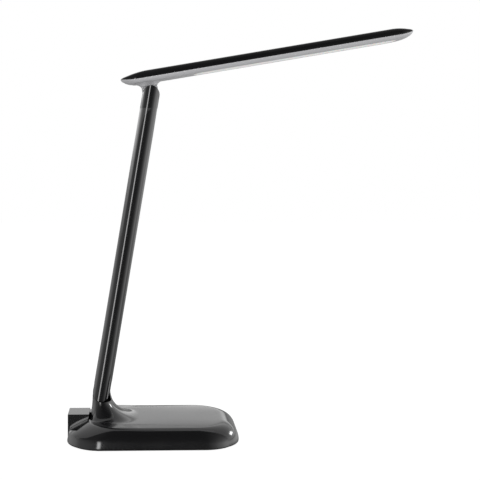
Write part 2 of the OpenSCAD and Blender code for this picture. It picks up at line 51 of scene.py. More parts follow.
# Camera
# The photograph was taken from 1.07 m away, at about the height of the arm's upper half.
# Its frame is a crop, off the middle of the lens, which the shift stands for.
camera_data = bpy.data.cameras.new("camera")
camera = bpy.data.objects.new("camera", camera_data)
bpy.context.scene.collection.objects.link(camera)
bpy.context.scene.camera = camera
camera_data.sensor_width = 36.0
camera_data.lens = 73.05
camera_data.shift_x = 0.15
camera_data.shift_y = -0.11
camera_data.clip_start, camera_data.clip_end = 0.05, 50.0
camera.location = np.array([-14.1, -1067.8, 297.8]) * MM
look_down, look_right = math.radians(1.266), math.radians(1.653)
camera.rotation_euler = (math.pi / 2 - look_down, 0.0, -look_right)


# Studio
# A white sweep, as the camera sees it. Black gloss shows what it reflects, so glossy rays see walls of
# their own, bright low down and dark overhead, and matt surfaces see an even white sky.
def to_linear(hex_colour, alpha=1.0):
    """A colour written as sRGB hex, turned to linear by the sRGB curve."""
    parts = np.array([int(hex_colour[i:i + 2], 16) for i in (1, 3, 5)]) / 255
    low, high = parts / 12.92, ((parts + 0.055) / 1.055) ** 2.4
    return (*np.where(parts <= 0.04045, low, high).tolist(), alpha)


def add_node(tree, kind, settings=None, **inputs):
    """Adds one node: settings are its own attributes, inputs are socket values or sockets to link."""
    node = tree.nodes.new(kind)
    for key, value in (settings or {}).items():
        setattr(node, key, value)
    for key, value in inputs.items():
        spot = int(key[1:]) if key[0] == "i" and key[1:].isdigit() else key.replace("_", " ")
        if isinstance(value, bpy.types.NodeSocket):
            tree.links.new(value, node.inputs[spot])
        else:
            node.inputs[spot].default_value = value
    return node


def ramp(tree, factor, stops, interpolation="EASE"):
    """A grey ramp node: stops are (position, grey level) pairs."""
    node = add_node(tree, "ShaderNodeValToRGB", None, Fac=factor)
    band = node.color_ramp
    band.interpolation = interpolation
    while len(band.elements) < len(stops):
        band.elements.new(0.5)
    for element, (position, grey) in zip(band.elements, stops):
        element.position = position
        element.color = (grey, grey, grey, 1.0)
    return node.outputs["Color"]


world = bpy.data.worlds.new("studio")
bpy.context.scene.world = world
world.use_nodes = True
sky = world.node_tree
sky.nodes.clear()
where = add_node(sky, "ShaderNodeTexCoord")
direction = add_node(sky, "ShaderNodeSeparateXYZ", None, Vector=where.outputs["Generated"])
# height runs from 0 straight down to 1 straight up, depth from 0 in front of the lamp to 1 behind it,
# and breadth from 0 at its rear to 1 at its front
height, depth, breadth = [add_node(sky, "ShaderNodeMapRange", None, Value=direction.outputs[axis],
                                   From_Min=-1.0, From_Max=1.0).outputs[0] for axis in ("Z", "Y", "X")]


def multiply(*factors):
    """The product of sockets and numbers, as a chain of maths nodes."""
    product = factors[0]
    for factor in factors[1:]:
        node = add_node(sky, "ShaderNodeMath", {"operation": "MULTIPLY"}, i0=product, i1=factor)
        product = node.outputs[0]
    return product


# In front, the wall brightens to the right, the left is grey, and a bright strip stands left of the
# camera, which draws the line up the arm
front_power, strip_power, band_power, back_power = 3.0, 9.0, 1.6, 2.2
front_sides = ramp(sky, breadth, [(0.0, 0.26), (0.20, 0.20), (0.36, 0.15), (0.50, 0.045), (0.63, 0.09),
                                  (0.79, 0.28), (0.93, 0.64), (1.0, 1.0)], "LINEAR")
front_walls = ramp(sky, height, [(0.0, 0.4), (0.35, 1.0), (0.53, 1.0), (0.62, 0.6), (0.80, 0.35),
                                 (1.0, 0.3)], "LINEAR")
strip = ramp(sky, breadth, [(0.335, 0.0), (0.385, 1.0), (0.415, 1.0), (0.455, 0.0)])
strip_height = ramp(sky, height, [(0.37, 0.0), (0.40, 1.0), (0.56, 1.0), (0.66, 0.0)])
front = add_node(sky, "ShaderNodeMath", {"operation": "ADD"},
                 i0=multiply(front_sides, front_walls, front_power),
                 i1=multiply(strip, strip_height, strip_power)).outputs[0]
# Behind, the wall is bright to both sides, and a band of it is lit a little above the desk's level,
# which greys the base's flat top
band = ramp(sky, height, [(0.555, 0.0), (0.575, 1.0), (0.60, 0.85), (0.65, 0.40), (0.72, 0.18),
                          (0.82, 0.05)], "LINEAR")
back_sides = ramp(sky, breadth, [(0.0, 0.60), (0.20, 0.30), (0.35, 0.18), (0.65, 0.18), (0.80, 0.5),
                                 (1.0, 1.0)], "LINEAR")
back_walls = ramp(sky, height, [(0.0, 0.15), (0.36, 0.4), (0.44, 1.0), (0.52, 1.0), (0.57, 0.2),
                                (0.65, 0.05)], "LINEAR")
back = add_node(sky, "ShaderNodeMath", {"operation": "ADD"}, i0=multiply(band, band_power),
                i1=multiply(back_sides, back_walls, back_power)).outputs[0]
turned = ramp(sky, depth, [(0.35, 0.0), (0.60, 1.0)])
reflected = add_node(sky, "ShaderNodeMix", {"data_type": "RGBA"}, i0=turned, i6=front, i7=back)
rays = add_node(sky, "ShaderNodeLightPath")
seen = add_node(sky, "ShaderNodeMix", {"data_type": "RGBA"}, i0=rays.outputs["Is Glossy Ray"],
                i6=(0.95, 0.95, 0.95, 1.0), i7=reflected.outputs[2])
shown = add_node(sky, "ShaderNodeMix", {"data_type": "RGBA"}, i0=rays.outputs["Is Camera Ray"],
                 i6=seen.outputs[2], i7=(1.0, 1.0, 1.0, 1.0))
light_out = add_node(sky, "ShaderNodeBackground", None, Color=shown.outputs[2])
add_node(sky, "ShaderNodeOutputWorld", None, Surface=light_out.outputs[0])


def area_light(name, place, aim, size, power):
    """A rectangular lamp at place, in metres, turned so that it shines at aim."""
    data = bpy.data.lights.new(name, "AREA")
    data.shape = "RECTANGLE"
    data.size, data.size_y = size
    data.energy = power
    lamp = bpy.data.objects.new(name, data)
    bpy.context.scene.collection.objects.link(lamp)
    lamp.location = place
    towards = np.array(aim) - np.array(place)
    lamp.rotation_euler = (math.atan2(math.hypot(towards[0], towards[1]), -towards[2]), 0.0,
                           math.atan2(-towards[0], towards[1]))
    return lamp


# Area lights. The right box is the spot on the base's corner, and the canopy greys the base's top.
# The others light matt surfaces only.
top_box = area_light("top_box", (0.35, 0.15, 1.7), (0.0, 0.0, 0.0), (0.9, 0.7), 6.0)
top_box.visible_glossy = False
area_light("right_box", (1.5, 0.8, 0.68), (0.0, 0.0, 0.1), (0.5, 0.26), 6.0)
canopy = area_light("canopy", (0.0, 0.38, 0.36), (0.0, 0.38, 0.0), (3.0, 0.9), 6.5)
canopy.visible_camera = False
front_fill = area_light("front_fill", (0.0, -1.8, 0.25), (0.0, 0.0, 0.30), (1.2, 0.8), 8.0)
front_fill.visible_glossy = False

# The floor is all but pure white to the camera, so that it melts into the background, with a trace of
# shadow. It throws white light up under the lamp, and no gloss reflects it.
floor_mesh = bpy.data.meshes.new("floor")
reach = 4.0
floor_mesh.from_pydata([(-reach, -reach, 0), (reach, -reach, 0), (reach, reach, 0), (-reach, reach, 0)],
                       [], [(0, 1, 2, 3)])
floor = bpy.data.objects.new("floor", floor_mesh)
bpy.context.scene.collection.objects.link(floor)
floor_look = bpy.data.materials.new("white_sweep")
floor_look.use_nodes = True
tree = floor_look.node_tree
tree.nodes.clear()
matt = add_node(tree, "ShaderNodeBsdfDiffuse", None, Color=(0.80, 0.80, 0.80, 1.0))
white = add_node(tree, "ShaderNodeEmission", None, Color=(1.0, 1.0, 1.0, 1.0), Strength=1.04)
bounce = add_node(tree, "ShaderNodeEmission", None, Color=(1.0, 1.0, 1.0, 1.0), Strength=1.0)
rays = add_node(tree, "ShaderNodeLightPath")
half_lit = add_node(tree, "ShaderNodeMixShader", None, i0=0.93, i1=matt.outputs[0], i2=white.outputs[0])
shown = add_node(tree, "ShaderNodeMixShader", None, i0=rays.outputs["Is Camera Ray"],
                 i1=bounce.outputs[0], i2=half_lit.outputs[0])
add_node(tree, "ShaderNodeOutputMaterial", None, Surface=shown.outputs[0])
floor.visible_glossy = False
floor_mesh.materials.append(floor_look)
bpy.context.scene.view_settings.view_transform = "Standard"


# Base cover
# One moulded shell of piano-black ABS: upright side, rounded crown, flat top, and a neck that flares
# out of it and ends in the tongue of the lower hinge. It clips over the base plate.
def material(name, **values):
    """A material with one Principled shader, its sockets set by name, with its tree and shader."""
    made = bpy.data.materials.new(name)
    made.use_nodes = True
    nodes = made.node_tree
    nodes.nodes.clear()
    shader = add_node(nodes, "ShaderNodeBsdfPrincipled", None, **values)
    add_node(nodes, "ShaderNodeOutputMaterial", None, Surface=shader.outputs[0])
    return made, nodes, shader


def pattern(nodes, size_mm, detail=2.0, stretch=(1.0, 1.0, 1.0)):
    """Noise in Object coordinates whose largest blotches are size_mm across, drawn out by stretch."""
    spot = add_node(nodes, "ShaderNodeTexCoord").outputs["Object"]
    turned = add_node(nodes, "ShaderNodeMapping", None, Vector=spot, Scale=stretch)
    noise = add_node(nodes, "ShaderNodeTexNoise", None, Vector=turned.outputs[0],
                     Scale=1.0 / (size_mm * MM), Detail=detail)
    return noise.outputs[0]


def spread(nodes, factor, low, high):
    """Stretches a factor's middle range to run from low to high."""
    return add_node(nodes, "ShaderNodeMapRange", None, Value=factor, From_Min=0.3, From_Max=0.7,
                    To_Min=low, To_Max=high).outputs[0]


def bump(nodes, shader, factor, depth_mm):
    """Turns a factor into a surface relief of depth_mm under the shader."""
    relief = add_node(nodes, "ShaderNodeBump", None, Height=factor, Distance=depth_mm * MM, Strength=1.0)
    nodes.links.new(relief.outputs[0], shader.inputs["Normal"])


# Gloss-moulded ABS: near-black, mirror-like, with the faint ripple of a polished mould, about 6 mm
# apart, and a haze from handling that is a few centimetres across.
def gloss_plastic(name, low, high):
    """The gloss ABS with a polish whose roughness runs from low to high."""
    made, nodes, shader = material(name, Base_Color=to_linear("#0e0e0f"), IOR=1.52)
    nodes.links.new(spread(nodes, pattern(nodes, 30.0, detail=4.0), low, high), shader.inputs["Roughness"])
    bump(nodes, shader, pattern(nodes, 6.0), 0.003)
    return made


gloss_abs = gloss_plastic("gloss_black_abs", 0.05, 0.10)
cover_abs = gloss_plastic("gloss_black_abs_cover", 0.10, 0.15)


def ring(x0, x1, half, corner, z, round_steps=20, straight_steps=14):
    """A rounded rectangle as points: four quarter circles joined by straight runs, at height z."""
    turn = np.linspace(0.0, math.pi / 2, round_steps + 1)
    share = np.linspace(0.0, 1.0, straight_steps + 1)[1:-1, None]
    centres = np.array([[x1 - corner, half - corner], [x0 + corner, half - corner],
                        [x0 + corner, corner - half], [x1 - corner, corner - half]])
    arcs = [centre + corner * np.stack([np.cos(turn + k * math.pi / 2), np.sin(turn + k * math.pi / 2)], 1)
            for k, centre in enumerate(centres)]
    runs = [arcs[k][-1] * (1 - share) + arcs[(k + 1) % 4][0] * share for k in range(4)]
    flat = np.concatenate([part for pair in zip(arcs, runs) for part in pair])
    return np.column_stack([flat, np.full(len(flat), z)])


def loft(rings):
    """Quads between each ring and the next, as indices into the rings' points in a row."""
    count, size = len(rings), len(rings[0])
    here = np.arange(size)
    step = np.roll(here, -1)
    rows = np.arange(count - 1)[:, None] * size
    return np.stack([rows + here, rows + step, rows + step + size, rows + here + size], -1).reshape(-1, 4)


def piece(name, points, faces, looks, smooth=35.0):
    """A mesh piece at the origin, in metres, shaded smooth but for edges sharper than smooth degrees."""
    mesh = bpy.data.meshes.new(name)
    mesh.from_pydata((np.asarray(points) * MM).tolist(), [], [list(face) for face in faces])
    mesh.validate()
    mesh.materials.append(looks)
    made = bpy.data.objects.new(name, mesh)
    bpy.context.scene.collection.objects.link(made)
    mesh.shade_smooth()
    mesh.set_sharp_from_angle(angle=math.radians(smooth))
    return made


def cup(name, outer, inner, looks):
    """A shell open at its first rings: outer rings up to a cap, inner rings up to theirs, and a rim."""
    rings = list(inner[::-1]) + list(outer)
    points = np.concatenate(rings)
    size, last = len(rings[0]), (len(rings) - 1) * len(rings[0])
    faces = [tuple(face) for face in loft(rings)]
    faces += [tuple(range(last, last + size)), tuple(range(size - 1, -1, -1))]
    return piece(name, points, faces, looks)


def bake_modifiers(made):
    """Makes the piece's modifiers part of its mesh."""
    graph = bpy.context.evaluated_depsgraph_get()
    old = made.data
    made.data = bpy.data.meshes.new_from_object(made.evaluated_get(graph))
    made.modifiers.clear()
    bpy.data.meshes.remove(old)


def carve(made, other, how="DIFFERENCE"):
    """Cuts the other piece away, or joins it on, and removes it."""
    cut = made.modifiers.new("carve", "BOOLEAN")
    cut.operation, cut.object, cut.solver = how, other, "EXACT"
    bake_modifiers(made)
    bpy.data.objects.remove(other)


def soften(made, width_mm, angle=30.0, steps=2):
    """Rounds the edges sharper than angle by width_mm, as a mould leaves them."""
    edge = made.modifiers.new("edge", "BEVEL")
    edge.width, edge.segments, edge.limit_method = width_mm * MM, steps, "ANGLE"
    edge.angle_limit, edge.harden_normals = math.radians(angle), True
    bake_modifiers(made)


def slab(name, outline, low_y, high_y, looks):
    """A flat profile in x and z, carried along y from low_y to high_y."""
    outline = np.asarray(outline, float)
    sides = [np.insert(outline, 1, y, axis=1) for y in (high_y, low_y)]
    faces = [tuple(face) for face in loft(sides)]
    count = len(outline)
    faces += [tuple(range(count, 2 * count)), tuple(range(count - 1, -1, -1))]
    return piece(name, np.concatenate(sides), faces, looks)


def disc(centre, radius, steps=96, start=0.0, end=2 * math.pi):
    """Points of a circle, or of an arc of it, in x and z."""
    turn = np.linspace(start, end, steps, endpoint=end - start < 6.28)
    return np.array(centre) + radius * np.stack([np.cos(turn), np.sin(turn)], 1)


joint = {entry["name"]: entry for entry in frame["joints"]}
low_pivot = np.array(joint["arm_tilt"]["pos_m"]) / MM
top_pivot = np.array(joint["head_tilt"]["pos_m"]) / MM
cover_low, cover_high = (np.array(corner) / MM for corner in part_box("base_cover"))
pad_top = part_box("anti_slip_pad")[1][2] / MM
block_low, block_high = (np.array(corner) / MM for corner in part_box("port_block"))
ear_radius = 9.5
half_arm = 17.0
half_tongue, tongue_r, tongue_root = 6.0, 9.4, 1.0
foot_z, side_z, top_z = 3.0, 12.0, 22.8
foot_inset = 0.6
draft, corner_r, corner_share = 1.6, 38.0, 0.6
crown_side, crown_front, crown_rear, rear_power = 11.0, 18.0, 20.0, 1.2
wall, rear_wall_share = 2.2, 0.6
neck_front, neck_rear, neck_corner, neck_square = 9.1, 9.9, 6.0, 2.6
flare_front, flare_rear, flare_side, flare_corner = 32.0, 4.5, 17.0, 0.9
flare_h = low_pivot[2] - 1.2 - top_z
seat_gap, saddle_gap, rim_rise = 0.6, 0.4, 4.5
seat_z = low_pivot[2] - ear_radius - seat_gap
rim_z = seat_z + rim_rise
saddle_r = ear_radius + saddle_gap


def base_ring(side, front, rear, z):
    """The base's outline, drawn in by side, front and rear, at height z."""
    return ring(cover_low[0] + rear, cover_high[0] - front, cover_high[1] - side,
                corner_r - corner_share * side, z)


def crown_ring(a, off):
    """The side and crown at angle a: a quarter ellipse on the sides and front, a slope at the rear."""
    open_by, drawn = 1 - math.cos(a), off * math.cos(a)
    z = foot_z + (top_z - foot_z - off) * math.sin(a)
    up_side = min(1.0, (z - foot_z) / (side_z - foot_z))
    up_crown = max(0.0, (z - side_z) / (top_z - side_z))
    return base_ring((draft + crown_side) * open_by + drawn, (draft + crown_front) * open_by + drawn,
                     draft * up_side + crown_rear * up_crown ** rear_power + rear_wall_share * off, z)


def rounder(points):
    """The ring pulled in to a superellipse of the same length and width."""
    low, high = points.min(0)[:2], points.max(0)[:2]
    middle, half = (low + high) / 2, (high - low) / 2
    flat = (points[:, :2] - middle) / half
    norm = (np.abs(flat) ** neck_square).sum(1) ** (1 / neck_square)
    return np.column_stack([middle + half * flat / norm[:, None], points[:, 2]])


def flare_ring(b, off):
    """The neck's flare at angle b: a quarter ellipse that starts level and ends upright."""
    open_by, drawn = 1 - math.sin(b), off * math.sin(b)
    return rounder(ring(low_pivot[0] - neck_rear - flare_rear * open_by + drawn,
                        low_pivot[0] + neck_front + flare_front * open_by - drawn,
                        half_arm + flare_side * open_by - drawn,
                        neck_corner + flare_corner * flare_side * open_by - drawn,
                        top_z + flare_h * (1 - math.cos(b)) - off * math.cos(b)))


def flare_angle(z, off):
    """The angle at which the flare, off inside its face, reaches height z."""
    return math.acos((top_z + flare_h - z) / (flare_h + off))


def foot_rings(off):
    """The foot's small round edge, from the rim up to the upright side."""
    rings = []
    for turn in np.linspace(0.0, math.pi / 2, 5):
        drawn = foot_inset * (1 - math.sin(turn)) + off
        rings.append(base_ring(drawn, drawn, drawn, pad_top + (foot_z - pad_top) * (1 - math.cos(turn))))
    return rings


# The flat top sinks by up to 0.8 mm towards its edge, 34 mm and more away from the neck
dome, dome_reach = 0.8, 34.0
neck_foot, crown_end = flare_ring(0.0, 0.0), crown_ring(math.pi / 2, 0.0)
sink = dome * np.clip(np.linalg.norm((crown_end - neck_foot)[:, :2], axis=1) / dome_reach, 0, 1) ** 2


def sunk_ring(points, share):
    """The ring lowered by its share of the dome's sink."""
    return points - np.stack([0 * sink, 0 * sink, share * sink], 1)


quarter = np.linspace(0.0, math.pi / 2, 33)
outer_end, inner_end = flare_angle(rim_z, 0.0), flare_angle(seat_z - wall, wall)
brim = 0.97
outer = foot_rings(0.0) + [sunk_ring(crown_ring(a, 0.0), math.sin(a)) for a in quarter * brim]
outer += [sunk_ring(crown_end * s + neck_foot * (1 - s), s * s) for s in np.linspace(brim, 1 - brim, 17)]
outer += [flare_ring(b, 0.0) for b in np.linspace(0.0, outer_end, 33)]
inner = foot_rings(wall) + [crown_ring(a, wall) for a in quarter]
inner += [flare_ring(b, wall) for b in np.linspace(0.0, inner_end, 33)]
base_cover = cup("base_cover_shell", outer, inner, cover_abs)

# The neck is cut away on both sides of the tongue, where the arm's ears swing
px, pz = low_pivot[0], low_pivot[2]
front_reach, above_pivot = 30, 5
for side in (-1, 1):
    near, far = sorted((side * half_tongue, side * 2 * half_arm))
    carve(base_cover, slab("saddle_cut", disc((px, pz), saddle_r), near, far, cover_abs))
    front_cut = [(px, seat_z), (px + front_reach, seat_z), (px + front_reach, pz + above_pivot),
                 (px, pz + above_pivot)]
    carve(base_cover, slab("front_cut", front_cut, near, far, cover_abs))
rise = np.linspace(flare_angle(seat_z - tongue_root, 0.0), math.pi / 2, 17)
front_edge = np.stack([px + neck_front + flare_front * (1 - np.sin(rise)),
                       top_z + flare_h * (1 - np.cos(rise))], 1)
tongue_end = disc((px, pz), tongue_r, 65, 0.0, math.pi)
rear_lean, rear_bend = 0.2, 5
tongue = np.concatenate([[(px - neck_rear, seat_z - tongue_root)], front_edge, tongue_end,
                         [(px - neck_rear + rear_lean, pz - rear_bend)]])
carve(base_cover, slab("tongue", tongue, -half_tongue, half_tongue, cover_abs), "UNION")
notch_gap, beyond = 0.8, 5
notch_rear, notch_front = block_low[0] - beyond, block_high[0] + notch_gap
notch_top = block_high[2] + 1
notch = [(notch_rear, -beyond), (notch_front, -beyond), (notch_front, notch_top), (notch_rear, notch_top)]
carve(base_cover, slab("notch", notch, block_low[1] - notch_gap, block_high[1] + notch_gap, cover_abs))
soften(base_cover, 0.25)
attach(base_cover, "base")
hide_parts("base_cover")


# Inlet housing and inlet
# The square housing behind the neck is a moulding of its own, flush with the base's rear end.
# Its socket is a stock part in black nylon with a plated centre pin.
def box_shape(name, low, high, looks, edge_mm):
    """A box between two corners, in mm, its edges rounded by edge_mm."""
    outline = [(low[0], low[2]), (high[0], low[2]), (high[0], high[2]), (low[0], high[2])]
    made = slab(name, outline, low[1], high[1], looks)
    if edge_mm:
        soften(made, edge_mm)
    return made


def bar(name, start, end, radius, looks, steps=48):
    """A round bar between two points, in mm: a circle carried along the line between them."""
    start, end = np.array(start, float), np.array(end, float)
    along = (end - start) / np.linalg.norm(end - start)
    across = np.cross(along, (0.0, 0.0, 1.0) if abs(along[2]) < 0.9 else (1.0, 0.0, 0.0))
    across /= np.linalg.norm(across)
    other = np.cross(along, across)
    turn = np.linspace(0, 2 * math.pi, steps, endpoint=False)[:, None]
    circle = radius * (np.cos(turn) * across + np.sin(turn) * other)
    faces = [tuple(face) for face in loft([start + circle, end + circle])]
    faces += [tuple(range(steps, 2 * steps)), tuple(range(steps - 1, -1, -1))]
    return piece(name, np.concatenate([start + circle, end + circle]), faces, looks)


housing = box_shape("inlet_housing", block_low, block_high, gloss_abs, 0.0)
jack_low, jack_high = (np.array(corner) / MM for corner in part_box("dc_jack"))
inlet_z = (jack_low[2] + jack_high[2]) / 2
jack_gap, mouth_r, mouth_reach = 0.1, 3.65, 2
room_low = (jack_low[0], jack_low[1] - jack_gap, 0.0)
room_high = (block_high[0] + beyond, jack_high[1] + jack_gap, jack_high[2] + jack_gap)
carve(housing, box_shape("room", room_low, room_high, gloss_abs, 0.0))
carve(housing, bar("mouth", (block_low[0] - mouth_reach, 0, inlet_z),
                   (jack_low[0] + mouth_reach, 0, inlet_z), mouth_r, gloss_abs))
soften(housing, 0.35, 40.0, 3)
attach(housing, "base")
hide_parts("port_block")


# Hidden mouldings in black nylon: fine sparked texture, about 0.8 mm grain, and no shine.
satin_nylon, nodes, shader = material("satin_black_nylon", Base_Color=to_linear("#151516"), IOR=1.53,
                                      Roughness=0.45)
bump(nodes, shader, pattern(nodes, 0.8), 0.03)


def dress(node, looks):
    """Gives a CAD node this material in every slot."""
    mesh = frame["nodes"][node].data
    for spot in range(len(mesh.materials)):
        mesh.materials[spot] = looks


dress("dc_jack", satin_nylon)


# Underside
# A flat base plate in black nylon, screwed into four bosses, and a one-piece rubber pad glued under it.
# Matt rubber with a sanded grain, about 1.2 mm
rubber, nodes, shader = material("black_rubber", Base_Color=to_linear("#181818"), IOR=1.52, Roughness=0.82)
bump(nodes, shader, pattern(nodes, 1.2, detail=5.0), 0.08)
dress("base_plate", satin_nylon)
dress("anti_slip_pad", rubber)


# Arm
# Two half shells of the same gloss ABS, joined along the middle by three screws over a steel bar.
# Their ends are forks whose ears stand on both sides of the tongues.
arm_line = top_pivot - low_pivot
arm_len = float(np.linalg.norm(arm_line))
arm_lean = math.atan2(arm_line[0], arm_line[2])
arm_square = 2.9
seam = 0.06
half_slot = 6.7
arc_steps, rise_steps = 96, 24


def in_arm(flat):
    """Points of a drawing in the arm's own x and z, turned and carried to the lower pivot."""
    flat = np.asarray(flat, float)
    x, z = flat[:, 0], flat[:, 1]
    return np.stack([low_pivot[0] + x * math.cos(arm_lean) + z * math.sin(arm_lean),
                     low_pivot[2] - x * math.sin(arm_lean) + z * math.cos(arm_lean)], 1)


def arm_half(name, side):
    """Half a superellipse carried up the arm, each line of it ending on the round end of the fork."""
    turn = np.linspace(0.0, math.pi, arc_steps + 1)
    power = 2 / arm_square
    x = ear_radius * np.sign(np.cos(turn)) * np.abs(np.cos(turn)) ** power
    y = seam + (half_arm - seam) * np.abs(np.sin(turn)) ** power
    flat_side = np.stack([x[-2:0:-1], np.full(arc_steps - 1, seam)], 1)
    section = np.concatenate([np.stack([x, y], 1), flat_side])
    end = np.sqrt(np.maximum(ear_radius ** 2 - section[:, 0] ** 2, 0.0))
    share = np.linspace(0.0, 1.0, rise_steps + 1)[:, None]
    height = -end * (1 - share) + (arm_len + end) * share
    count, size = height.shape
    flat = in_arm(np.stack([np.tile(section[:, 0], count), height.ravel()], 1))
    points = np.column_stack([flat[:, 0], side * np.tile(section[:, 1], count), flat[:, 1]])
    faces = loft(points.reshape(count, size, 3))
    arc = np.arange(arc_steps)
    back = (size - arc) % size
    after = np.where(arc + 1 == arc_steps, arc_steps, size - arc - 1)
    low_cap = np.stack([arc, back, after, arc + 1], 1)
    top_cap = low_cap[:, ::-1] + (count - 1) * size
    faces = np.concatenate([faces, low_cap, top_cap])
    faces = [tuple(dict.fromkeys(face.tolist())) for face in (faces if side > 0 else faces[:, ::-1])]
    return piece(name, points, faces, gloss_abs)


def arc_points(radius, first, last, steps=24):
    """Points of an arc about the pivot, from first to last degrees."""
    turn = np.radians(np.linspace(first, last, steps))
    return radius * np.stack([np.cos(turn), np.sin(turn)], 1)


# The slots clear the tongues over their whole swing: the lower one opens more to the front, and the upper
# one is the sector from the head fully open to the head folded flat
low_gap_r, top_gap_r, far = 9.8, 9.0, 20.0
slot_front, slot_rear, slot_fall = 11.6, 7.3, 2.0
front_end, rear_end, beside_end = 84, 123, 101.7
low_slot = np.concatenate([[(far, -far), (far, slot_front + slot_fall), (ear_radius, slot_front)],
                           arc_points(low_gap_r, front_end, rear_end),
                           [(-ear_radius, slot_rear), (-far, slot_rear - slot_fall), (-far, -far)]])
head_rise, head_open = 9.66, 20
open_a = -(arm_lean + math.radians(head_rise + head_open))
out = np.array([math.sin(open_a), math.cos(open_a)])
beside = np.array([-math.cos(open_a), math.sin(open_a)])
slot_end = 1.5 * far
top_slot = np.concatenate([[top_gap_r * beside + far * out, slot_end * out, (0, slot_end),
                            (slot_end, slot_end), (slot_end, -top_gap_r)],
                           arc_points(top_gap_r, -90, math.degrees(open_a) - beside_end)])
top_slot = top_slot + np.array([0, arm_len])
screw_x, screw_seat, screw_inset, recess_r = -1.5, 11.0, 28.0, 2.9
for side, node in ((-1, "arm_shell_right"), (1, "arm_shell_left")):
    half = arm_half(node.replace("shell", "half"), side)
    low_y, high_y = sorted((side * half_slot, -side * 1.0))
    for outline in (low_slot, top_slot):
        carve(half, slab("slot_cut", in_arm(outline), low_y, high_y, gloss_abs))
    for along in (screw_inset, arm_len / 2, arm_len - screw_inset) if side > 0 else ():
        x, up = in_arm([(screw_x, along)])[0]
        carve(half, bar("screw_recess", (x, screw_seat, up), (x, far, up), recess_r, gloss_abs))
    soften(half, 0.3, 40.0, 3)
    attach(half, "arm")
    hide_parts(node)


# Head top
# One long blade of the gloss ABS, crowned across and tapered at both ends. It clips onto the lower shell.
head_a = math.radians(head_rise)
head_x0, head_x1, half_head = -29.7, 295.3, 20.0
part_n, top_h, belly_h, head_wall, end_walls = 18.8, 8.9, 4.4, 1.6, 1.5
rear_taper, front_taper, tip_lift, lift_reach, end_r = 33.0, 25.0, 2.8, 18.0, 17.0
head_power, bluntness, seam_step = 0.77, 0.97, 0.05
tip_steps, run_steps = 16, 40


def in_head(points):
    """Points in the head's own frame, x along it and z up from the pivot, turned and carried there."""
    points = np.asarray(points, float)
    x, z = points[:, 0], points[:, 2]
    return np.column_stack([top_pivot[0] + x * math.cos(head_a) - z * math.sin(head_a), points[:, 1],
                            top_pivot[2] + x * math.sin(head_a) + z * math.cos(head_a)])


def lifted(points, amount):
    """Raises points near the two tips, by the square of how far into the last stretch they are."""
    inside = np.minimum(points[:, 0] - head_x0, head_x1 - points[:, 0])
    points[:, 2] += amount * tip_lift * np.clip(1 - inside / lift_reach, 0, None) ** 2
    return points


def top_ring(a, off):
    """The top shell's outline at angle a up its crown, off inside its face."""
    rise = math.sin(a) ** head_power
    half = (half_head - off) * math.cos(a) ** head_power
    drawn = 1 - math.sqrt(1 - bluntness * rise * rise)
    outline = ring(head_x0 + rear_taper * drawn + end_walls * off,
                   head_x1 - front_taper * drawn - end_walls * off, half, min(end_r, 0.95 * half),
                   part_n + seam_step + (top_h - off) * rise, tip_steps, run_steps)
    return in_head(lifted(outline, 1 - rise))


climb = math.pi / 2 * np.linspace(0, 1, 41) ** 1.25 * brim
head_top = cup("head_top_blade", [top_ring(a, 0.0) for a in climb], [top_ring(a, head_wall) for a in climb],
               gloss_abs)
soften(head_top, 0.25, 40.0, 2)
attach(head_top, "head")
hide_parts("head_top_shell")


# Head underside
# A shallow tray of ABS in silver-grey satin paint. A trumpet neck grows out of it and ends in the upper
# hinge's tongue, and a long window holds the diffuser.
# Satin paint whose metal flake clouds it at 0.5 mm, over a fine spray texture
paint, nodes, shader = material("silver_grey_paint", Base_Color=to_linear("#a9a9ab"), IOR=1.5, Metallic=0.1,
                                Roughness=0.38)
flake = spread(nodes, pattern(nodes, 0.5, detail=3.0), 0.32, 0.44)
nodes.links.new(flake, shader.inputs["Roughness"])
bump(nodes, shader, pattern(nodes, 0.7), 0.006)

belly_round, belly_rear, belly_front, rear_rise, rear_reach = 6.0, 10.0, 18.5, 2.4, 22.0
head_neck, head_neck_half, head_flare, head_flare_side, head_flare_h = 8.5, 10.5, 9.0, 3.4, 6.0
floor_n, shoulder_n, top_tongue, root_n = part_n - belly_h, ear_radius + 0.7, 8.6, 0.8


def belly_ring(a, off):
    """The lower shell's outline at angle a down its rounded side."""
    open_by, drawn = 1 - math.cos(a), off * math.cos(a)
    outline = ring(head_x0 + belly_rear * open_by + end_walls * drawn,
                   head_x1 - belly_front * open_by - end_walls * drawn,
                   half_head - belly_round * open_by - drawn, end_r - 0.5 * belly_round * open_by - drawn,
                   part_n - (belly_h - off) * math.sin(a), tip_steps, run_steps)
    outline = lifted(outline, math.cos(a))
    near_rear = np.clip(1 - (outline[:, 0] - head_x0) / rear_reach, 0, None)
    outline[:, 2] += rear_rise * math.sin(a) * near_rear ** 2
    return in_head(outline)


def trumpet_ring(b, off):
    """The head's neck at angle b down its flare."""
    open_by, drawn = 1 - math.sin(b), off * math.sin(b)
    half = head_neck + head_flare * open_by - drawn
    outline = ring(-half, half, head_neck_half + head_flare_side * open_by - drawn,
                   neck_corner + head_flare_side * open_by - drawn,
                   floor_n - head_flare_h * (1 - math.cos(b)) + off * math.cos(b), tip_steps, run_steps)
    return in_head(outline)


def trumpet_angle(n, off):
    """The angle at which the head's neck, off inside its face, is n above the pivot."""
    return math.acos((n + head_flare_h - floor_n) / (head_flare_h + off))


